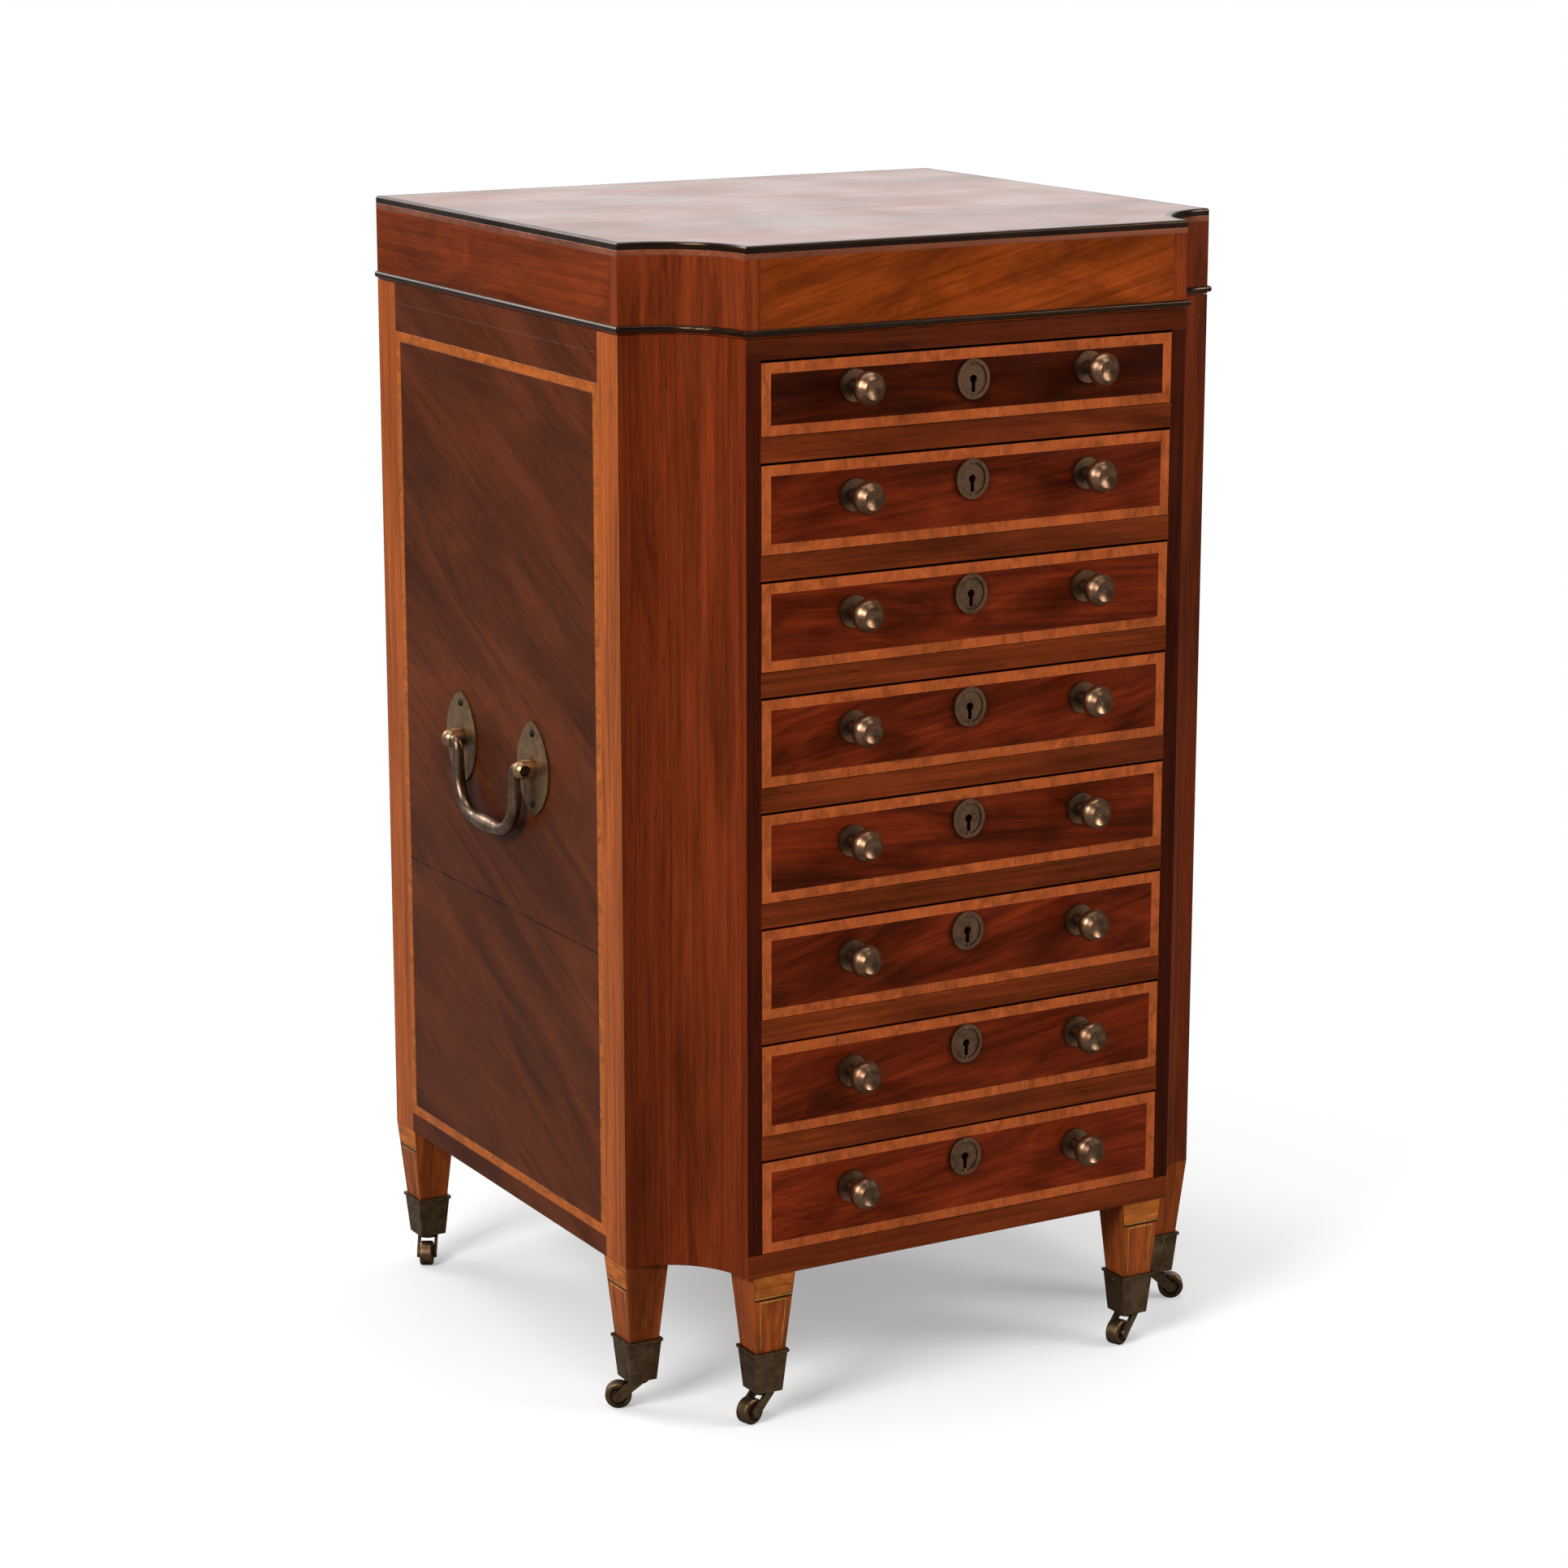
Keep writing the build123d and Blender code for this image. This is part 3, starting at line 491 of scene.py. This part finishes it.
class CABINET_OT_carcass(bpy.types.Operator):
    """Veneer and polish the carcass boards, posts, rails and inlays"""

    bl_idname = "cabinet.carcass"
    bl_label = "Carcass"

    def execute(self, context):
        colours = context.scene.cabinet_finishes
        # Straight grained mahogany bent round the coves: quiet upright stripe
        cove = polished_wood(
            "mahogany_cove", colours.cove, "upright", figure=(26, 340), tone_shares=(0.6, 1.35)
        )
        # Plain sawn mahogany on the sides: broad slanting figure, rubbed to a low shine
        side = polished_wood(
            "mahogany_side", colours.side_panel, "level", figure=(60, 260), tilt=(26, 0, 0),
            tone_shares=(0.62, 1.45), joint_height=SIDE_JOINT, shine=0.08,
        )
        # Rails cut along the board: fine level stripe
        rail = polished_wood("mahogany_rail", colours.rail, "level")
        # The same wood painted deeper brown, as painted shadow of the lid's overhang on the board below it
        top_rail_painted_shadow = polished_wood("mahogany_top_rail", colours.top_rail_painted_shadow, "level")
        # Stained strips beside the drawers: nearly black brown
        stile = polished_wood("mahogany_front_stile", colours.front_stile, "upright")
        # Quartered satinwood: pale, close and straight
        light = polished_wood(
            "satinwood_stile", colours.side_stile, "upright", figure=(14, 260), tone_shares=(0.72, 1.25)
        )
        # Cross cut satinwood strings: short grain across a narrow band
        string = polished_wood(
            "satinwood_string", colours.string, "level", figure=(9, 14), stripe=(1.2, 4), streak=(0.86, 1.12),
            tone_shares=(0.68, 1.25),
        )
        # Planed oak, left without polish: dull and open grained
        lining = polished_wood("oak_lining", colours.oak, "level", gloss=0.5, shine=0.2)

        for node, finish in (
            ("left_side_panel", side), ("right_side_panel", side), ("drawer_rails", rail),
            ("back_panel", rail), ("drawer_cheeks", lining), ("drawer_runners", lining),
        ):
            finish_node(node, finish)

        def post_face(centre, normal):
            return 1 if centre.y < FRONT_Y + CLOSE else 0

        for name in ("left_coved_post", "right_coved_post"):
            dressed_copy(name, f"{name}_veneer", "carcass", [cove, stile], post_face)

        def board_face(centre, normal):
            behind_cove = centre.y > FRONT_Y + COVE_RADIUS
            if abs(normal.z) > abs(normal.x) + abs(normal.y):
                return 1
            if abs(centre.x) > HALF_WIDTH - SIDE_SKIN and behind_cove:
                return 2
            at_corner = abs(centre.x) > HALF_WIDTH - COVE_RADIUS + CLOSE
            return 0 if at_corner and not behind_cove else 1

        for name, front in (("base_board", rail), ("top_board", top_rail_painted_shadow)):
            dressed_copy(name, f"{name}_veneer", "carcass", [cove, front, side], board_face)

        string_front = FRONT_Y + COVE_RADIUS + STILE_WIDTH
        string_back = BACK_Y - STILE_WIDTH

        def inlay_face(centre, normal):
            return 1 if string_front + CLOSE < centre.y < string_back - CLOSE else 0

        dressed_copy("side_inlays", "side_inlay_veneers", "carcass", [light, string], inlay_face)
        return {"FINISHED"}


class CABINET_OT_lid(bpy.types.Operator):
    """Veneer and polish the lid, with its dark edging and bead"""

    bl_idname = "cabinet.lid"
    bl_label = "Lid"

    def execute(self, context):
        colours = context.scene.cabinet_finishes
        # Figured mahogany on the frieze: lively slanting flame
        frieze = polished_wood(
            "mahogany_frieze", colours.frieze, "level", figure=(40, 110), tilt=(0, -14, 0), shine=0.08
        )
        # Plainer mahogany on the lid's sides: level stripe with a low shine, and a darker colour than the
        # frieze as painted shade on the sides
        side = polished_wood("mahogany_lid_side", colours.lid_side_painted_shade, "level", figure=(40, 160), shine=0.06)
        # Straight mahogany bent round the lid's coves: quiet upright stripe
        cove = polished_wood("mahogany_lid_cove", colours.lid_cove, "upright", figure=(24, 160))
        # The top has the fullest polish: it mirrors the backdrop at a low angle
        top = polished_wood(
            "mahogany_top", colours.lid_top, "across", figure=(60, 420), tone_shares=(0.66, 1.35), gloss=0.2,
            shine=0.5, coat=0.3,
        )
        # Ebony edging, close grained and nearly black
        ebony = polished_wood("ebony_edging", colours.edging, "level", gloss=0.16, shine=0.5)
        for node, finish in (
            ("lid_coved_corners", cove), ("lid_edging", ebony), ("lid_bead", ebony), ("lid_panel", top),
        ):
            finish_node(node, finish)

        def rail_face(centre, normal):
            faces_sideways = abs(normal.x) > abs(normal.y) + abs(normal.z)
            return 1 if faces_sideways and abs(centre.x) > HALF_WIDTH - LID_SIDE_SKIN else 0

        dressed_copy("lid_rails", "lid_rail_veneers", "lid", [frieze, side], rail_face)
        return {"FINISHED"}


class CABINET_OT_drawers(bpy.types.Operator):
    """Band the drawer fronts, line the drawers and finish their brasses"""

    bl_idname = "cabinet.drawers"
    bl_label = "Drawers"

    def execute(self, context):
        colours = context.scene.cabinet_finishes
        fittings = context.scene.cabinet_fittings
        # Cross cut satinwood banding: warm and even, with short grain
        band = polished_wood(
            "satinwood_banding", colours.banding, "upright", figure=(14, 20), stripe=(1.4, 6),
            streak=(0.86, 1.12), tone_shares=(0.68, 1.25),
        )
        # Planed oak sides, left without polish: pale and dull, with the grain from front to back
        lining = polished_wood("oak_drawer_lining", colours.oak, "endways", gloss=0.5, shine=0.2)
        # Thin planed oak slid into grooves: a darker oak than the sides, with the grain across
        bottom = polished_wood("oak_drawer_bottom", colours.oak_floor, "across", gloss=0.6, shine=0.15)
        # Turned brass knobs and cast escutcheons: rubbed on their crowns
        brass = aged_brass("brass_knobs", colours.knob_brass, colours.knob_tarnish)
        for number in range(1, DRAWERS + 1):
            body = f"drawer_{number}"
            node = f"{body}_front"
            box = f"{body}_box"
            low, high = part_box(node)
            # Figured mahogany leaf: dark and light flame along the drawer
            field = polished_wood(
                f"mahogany_field_{number}", colours.drawer_field, "level", figure=(26, 130),
                tilt=(0, LEAF_TILTS[number - 1], 0), shade=LEAF_SHADES[number - 1], tone_shares=(0.48, 1.7),
            )

            def front_face(centre, normal):
                skin = centre.y < FRONT_Y + VENEER + CLOSE
                edge = min(centre.x - low.x, high.x - centre.x, centre.z - low.z, high.z - centre.z)
                return 1 if skin and edge < BANDING - CLOSE else 0

            dressed_copy(node, f"{body}_veneer", body, [field, band], front_face)
            box_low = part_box(box)[0].z

            def lining_face(centre, normal):
                level = centre.z - box_low
                at_bottom = BOTTOM_LOW - CLOSE < level < BOTTOM_HIGH + CLOSE
                return 1 if at_bottom and abs(normal.z) > abs(normal.x) + abs(normal.y) else 0

            dressed_copy(box, f"{body}_linings", body, [lining, bottom], lining_face)
            finish_node(f"{body}_brasses", brass)

            pins = bmesh.new()
            radius = PLATE_PIN_SHARE * fittings.pin_radius
            for way in (1, -1):
                centre = (0, FRONT_Y - PLATE_RISE, high.z - PLATE_DROP + way * PLATE_PIN_SPREAD)
                add_pin(pins, centre, (0, -1, 0), radius, PLATE_PIN_RISE)
            shaped_piece(f"{body}_plate_pins", pins, body, [brass])
        return {"FINISHED"}


class CABINET_OT_handles(bpy.types.Operator):
    """Finish the carrying handles and the lid hinges"""

    bl_idname = "cabinet.handles"
    bl_label = "Handles and hinges"

    def execute(self, context):
        colours = context.scene.cabinet_finishes
        fittings = context.scene.cabinet_fittings
        # Sawn brass plate, filed flat: soft even sheen with brown mottling
        brass = aged_brass("brass_plates", colours.plate_brass, colours.plate_tarnish, polish=0.3)
        # Cast brass grip, worn smooth by hands: dark, with narrow bright lights
        worn = aged_brass("brass_bails", colours.bail_brass, colours.bail_tarnish, polish=0.26)
        # Screws blackened by old wax and dirt: dark dots on the plates
        dull = aged_brass("brass_plate_screws", colours.screw_brass, colours.screw_tarnish, polish=0.42)
        for node in ("handle_plates", "hinge_lower_leaves", "hinge_upper_leaves"):
            finish_node(node, brass)
        finish_node("handle_screws", dull)
        for side in ("left", "right"):
            node = f"{side}_bail"
            bail = dressed_copy(node, f"{side}_bail_casting", f"{side}_handle", [worn])
            eye_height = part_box(node)[1].z - BAIL_EYE
            normals = [vertex.normal.copy() for vertex in bail.data.vertices]
            for vertex, normal in zip(bail.data.vertices, normals):
                below = min(max((eye_height - vertex.co.z) / BAIL_SHOULDER, 0.0), 1.0)
                vertex.co += normal * (fittings.bail_swell * below)

        # Screws in the hinge leaves, seen with the lid up
        for leaf, height, outward, body in (
            ("lower", LID_JOINT, (0, 0, 1), "carcass"), ("upper", LID_BOTTOM, (0, 0, -1), "lid"),
        ):
            screws = bmesh.new()
            for x in (-HINGE_X, HINGE_X):
                for along, turn in HINGE_SCREWS:
                    centre = (x + along, BACK_Y - LEAF_MIDDLE, height)
                    add_screw(screws, centre, outward, HINGE_SCREW_RADIUS, HINGE_SCREW_RISE, turn)
            shaped_piece(f"hinge_{leaf}_screws", screws, body, [brass])
        return {"FINISHED"}


class CABINET_OT_back_screws(bpy.types.Operator):
    """Drive the slotted screws that hold the back"""

    bl_idname = "cabinet.back_screws"
    bl_label = "Back screws"

    def execute(self, context):
        # Filed by hand and never cleaned since: nearly black and half dull
        colours = context.scene.cabinet_finishes
        dull = aged_brass("brass_back_screws", colours.screw_brass, colours.screw_tarnish, polish=0.42)
        radius = context.scene.cabinet_fittings.screw_radius
        low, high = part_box("back_panel")
        screws = bmesh.new()
        edges = (low.x + BACK_SCREW_INSET, high.x - BACK_SCREW_INSET)
        places = [(x, share) for x in edges for share in BACK_SCREW_SHARES]
        for turn, (x, share) in enumerate(places):
            centre = (x, BACK_Y, low.z + share * (high.z - low.z))
            add_screw(screws, centre, (0, 1, 0), radius, BACK_SCREW_RISE, turn * BACK_SCREW_TURN)
        shaped_piece("back_screws", screws, "carcass", [dull])
        return {"FINISHED"}


def leg_half_width(height):
    """Half of the tapered leg's width at a height above the floor."""
    return (FOOT_SIZE + (height - FOOT_HEIGHT) * LEG_TAPER) / 2


class CABINET_OT_legs(bpy.types.Operator):
    """Finish the legs, their caps and the casters"""

    bl_idname = "cabinet.legs"
    bl_label = "Legs and casters"

    def execute(self, context):
        colours = context.scene.cabinet_finishes
        # Straight mahogany, sawn square and planed to its taper: warm upright stripe
        wood = polished_wood("mahogany_leg", colours.leg, "upright", figure=(16, 180))
        # Cast brass caps and casters, seldom cleaned: brown with a dull sheen
        brass = aged_brass("brass_casters", colours.caster_brass, colours.caster_tarnish, polish=0.34)
        finish_node("legs", wood)
        finish_node("caster_caps", brass)
        for corner in CORNERS:
            finish_node(f"{corner}_caster_fork", brass)
            finish_node(f"{corner}_caster_wheel", brass)
        pins = bmesh.new()
        radius = context.scene.cabinet_fittings.pin_radius
        pin_height = CAP_TOP - CAP_PIN_DROP
        cap_half = leg_half_width(pin_height) + CAP_WALL
        for (x, y), _ in LEG_FACES:
            for outward in OUTWARD:
                surface = Vector((x, y, pin_height)) + Vector(outward) * cap_half
                add_pin(pins, surface, outward, radius, CAP_PIN_RISE)
        shaped_piece("caster_cap_pins", pins, "carcass", [brass])
        return {"FINISHED"}


def show_face(centre, outward):
    """Points on a leg's tapered face, from a share across it, a height and a lift off the wood."""
    along = Vector((-outward.y, outward.x, 0.0))

    def point(across_share, height, lift):
        half = leg_half_width(height)
        return Vector((*centre, height)) + along * (across_share * half) + outward * (half + lift)

    return point


def add_inlay(shape, point, across_shares, heights, lifts, finish):
    """One thin strip let into a leg's face, closed on all sides."""
    outline = [(0, 0), (1, 0), (1, 1), (0, 1)]
    corners = [
        shape.verts.new(point(across_shares[across], heights[up], lift))
        for lift in lifts for across, up in outline
    ]
    sides = [(i, (i + 1) % 4, 4 + (i + 1) % 4, 4 + i) for i in range(4)]
    for face in [(3, 2, 1, 0), (4, 5, 6, 7), *sides]:
        shape.faces.new([corners[index] for index in face]).material_index = finish


class CABINET_OT_leg_inlays(bpy.types.Operator):
    """Let the light blocks and strings into the legs' show faces"""

    bl_idname = "cabinet.leg_inlays"
    bl_label = "Leg inlays"

    def execute(self, context):
        colours = context.scene.cabinet_finishes
        fittings = context.scene.cabinet_fittings
        # Satinwood veneer laid level: a pale golden block
        block = polished_wood("satinwood_leg_block", colours.leg_block, "level", figure=(12, 30))
        # Boxwood, drawn to a thin line and glued in a groove: pale yellow and even
        string = polished_wood("boxwood_leg_string", colours.leg_string, "upright", figure=(6, 40))
        # Ebony line beside it: black and close grained
        dark = polished_wood("ebony_leg_line", colours.edging, "level")
        lifts = (-fittings.inlay_sink, fittings.inlay_rise)
        width = fittings.string_width
        block_bottom = UNDERSIDE - fittings.block_height
        line_bottom = block_bottom - width
        dark_bottom = line_bottom - width
        panel_top = dark_bottom - width
        panel_bottom = CAP_TOP + INLAY_GAP
        whole = (-INLAY_FULL, INLAY_FULL)
        shape = bmesh.new()
        for centre, outward in LEG_FACES:
            point = show_face(centre, Vector(outward))
            for shares, heights, finish in (
                (whole, (block_bottom, UNDERSIDE), 0),
                (whole, (line_bottom, block_bottom), 1),
                (whole, (dark_bottom, line_bottom), 2),
                ((-INLAY_OUTER, -INLAY_INNER), (panel_bottom, panel_top), 1),
                ((INLAY_INNER, INLAY_OUTER), (panel_bottom, panel_top), 1),
                ((-INLAY_INNER, INLAY_INNER), (panel_top - width, panel_top), 1),
            ):
                add_inlay(shape, point, shares, heights, lifts, finish)
        shaped_piece("leg_inlays", shape, "carcass", [block, string, dark])
        return {"FINISHED"}


def soft_box(name, place, aim, width, height, power):
    """One large soft lamp that points at a place."""
    lamp = bpy.data.lights.new(name, "AREA")
    lamp.shape = "RECTANGLE"
    lamp.size = width
    lamp.size_y = height
    lamp.energy = power
    holder = bpy.data.objects.new(name, lamp)
    bpy.context.scene.collection.objects.link(holder)
    turn = (Vector(aim) - Vector(place)).to_track_quat("-Z", "Y")
    holder.matrix_world = Matrix.Translation(place) @ turn.to_matrix().to_4x4()


def background_rays(tree):
    """The kinds of ray, and those that look at the background directly or through glass."""
    rays = add_node(tree, "ShaderNodeLightPath").outputs
    direct = {0: rays["Is Camera Ray"], 1: rays["Is Transmission Ray"]}
    return rays, add_node(tree, "ShaderNodeMath", direct, operation="MAXIMUM").outputs[0]


class CABINET_OT_stage(bpy.types.Operator):
    """Set up the white floor, the soft lamps and the photograph's camera"""

    bl_idname = "cabinet.stage"
    bl_label = "Stage"

    def execute(self, context):
        scene = context.scene
        studio = scene.cabinet_stage
        scene.view_settings.view_transform = "Standard"

        world = bpy.data.worlds.new("white_room")
        scene.world = world
        world.use_nodes = True
        tree = world.node_tree
        tree.nodes.clear()
        rays, seen = background_rays(tree)
        # Polish and brass mirror the white backdrop behind the cabinet, and a dim room in front of it
        toward = add_node(tree, "ShaderNodeTexCoord").outputs["Generated"]
        depth = add_node(tree, "ShaderNodeSeparateXYZ", {"Vector": toward}).outputs["Y"]
        backdrop = add_node(
            tree, "ShaderNodeMapRange",
            {"Value": depth, "From Min": 0.2, "From Max": 0.75, "To Min": studio.room, "To Max": 1.0},
        ).outputs["Result"]
        mirrored = add_node(
            tree, "ShaderNodeMapRange",
            {"Value": rays["Is Glossy Ray"], "To Min": studio.ambient, "To Max": backdrop},
        ).outputs["Result"]
        strength = add_node(
            tree, "ShaderNodeMapRange", {"Value": seen, "To Min": mirrored, "To Max": 1.0}
        ).outputs["Result"]
        glow = add_node(tree, "ShaderNodeBackground", {"Color": (1.0, 1.0, 1.0, 1.0), "Strength": strength})
        add_node(tree, "ShaderNodeOutputWorld", {"Surface": glow.outputs[0]})

        # White paper, rolled matt: it takes the shadow near the cabinet and is plain white further off
        material, tree, output = new_material("white_paper")
        place = add_node(tree, "ShaderNodeTexCoord").outputs["Object"]
        reach = add_node(tree, "ShaderNodeVectorMath", {0: place}, operation="LENGTH").outputs["Value"]
        fade = add_node(
            tree, "ShaderNodeMapRange", {"Value": reach, "From Min": 0.24, "From Max": 0.66, "To Min": 0.34},
            interpolation_type="SMOOTHSTEP",
        ).outputs["Result"]
        paper = add_node(tree, "ShaderNodeBsdfDiffuse", {"Color": (0.95, 0.95, 0.95, 1.0)})
        dim = add_node(tree, "ShaderNodeBsdfDiffuse", {"Color": (0.25, 0.25, 0.25, 1.0)})
        white = add_node(tree, "ShaderNodeEmission", {"Color": (1.0, 1.0, 1.0, 1.0), "Strength": 1.0})
        shown = add_node(tree, "ShaderNodeMixShader", {0: fade, 1: paper.outputs[0], 2: white.outputs[0]})
        _, seen = background_rays(tree)
        surface = add_node(tree, "ShaderNodeMixShader", {0: seen, 1: dim.outputs[0], 2: shown.outputs[0]})
        tree.links.new(surface.outputs[0], output.inputs["Surface"])
        half = studio.floor_size / 2
        corners = [(-half, -half, 0), (half, -half, 0), (half, half, 0), (-half, half, 0)]
        floor_mesh = bpy.data.meshes.new("floor")
        floor_mesh.from_pydata(corners, [], [(0, 1, 2, 3)])
        floor_mesh.materials.append(material)
        floor = bpy.data.objects.new("floor", floor_mesh)
        scene.collection.objects.link(floor)

        middle = (0.0, 0.0, LID_TOP / 2)
        soft_box("key_box", (-3.0, -1.3, 2.1), middle, 1.4, 1.4, studio.key_power)
        soft_box("fill_box", (2.6, -2.2, 1.7), middle, 1.4, 1.8, studio.fill_power)
        soft_box("top_box", (0.2, 0.2, 3.0), middle, 2.2, 2.2, studio.top_power)
        soft_box("back_box", (-1.4, 3.0, 2.4), middle, 1.4, 1.4, studio.back_power)

        camera = bpy.data.cameras.new("photo_camera")
        camera.sensor_width = SENSOR_WIDTH
        camera.lens = SENSOR_WIDTH * FOCAL_PIXELS / PHOTO_SIZE
        camera.clip_end = 50.0
        holder = bpy.data.objects.new("photo_camera", camera)
        scene.collection.objects.link(holder)
        holder.location = CAMERA_PLACE
        holder.rotation_euler = (radians(90) - CAMERA_PITCH, 0.0, -CAMERA_YAW)
        scene.camera = holder
        return {"FINISHED"}


class CABINET_PT_panel(bpy.types.Panel):
    """The cabinet's pieces, in the order they are dressed"""

    bl_idname = "CABINET_PT_panel"
    bl_label = "Collectors cabinet"
    bl_space_type = "VIEW_3D"
    bl_region_type = "UI"
    bl_category = "Cabinet"

    def draw(self, context):
        for operator in OPERATORS:
            self.layout.operator(operator.bl_idname)


OPERATORS = (
    CABINET_OT_stage, CABINET_OT_carcass, CABINET_OT_lid, CABINET_OT_drawers, CABINET_OT_handles,
    CABINET_OT_back_screws, CABINET_OT_legs, CABINET_OT_leg_inlays,
)
GROUPS = {
    "cabinet_finishes": CabinetFinishes,
    "cabinet_fittings": CabinetFittings,
    "cabinet_stage": CabinetStage,
}
CLASSES = (*GROUPS.values(), *OPERATORS, CABINET_PT_panel)


def register():
    """Register the classes and hang the property groups on the scene."""
    for item in CLASSES:
        bpy.utils.register_class(item)
    for name, group in GROUPS.items():
        setattr(bpy.types.Scene, name, bpy.props.PointerProperty(type=group))


def unregister():
    """Take the property groups and the classes away again."""
    for name in GROUPS:
        delattr(bpy.types.Scene, name)
    for item in reversed(CLASSES):
        bpy.utils.unregister_class(item)


def main():
    """Dress the cabinet."""
    register()
    bpy.ops.cabinet.stage()
    bpy.ops.cabinet.carcass()
    bpy.ops.cabinet.lid()
    bpy.ops.cabinet.drawers()
    bpy.ops.cabinet.handles()
    bpy.ops.cabinet.back_screws()
    bpy.ops.cabinet.legs()
    bpy.ops.cabinet.leg_inlays()


if __name__ == "__main__":
    main()
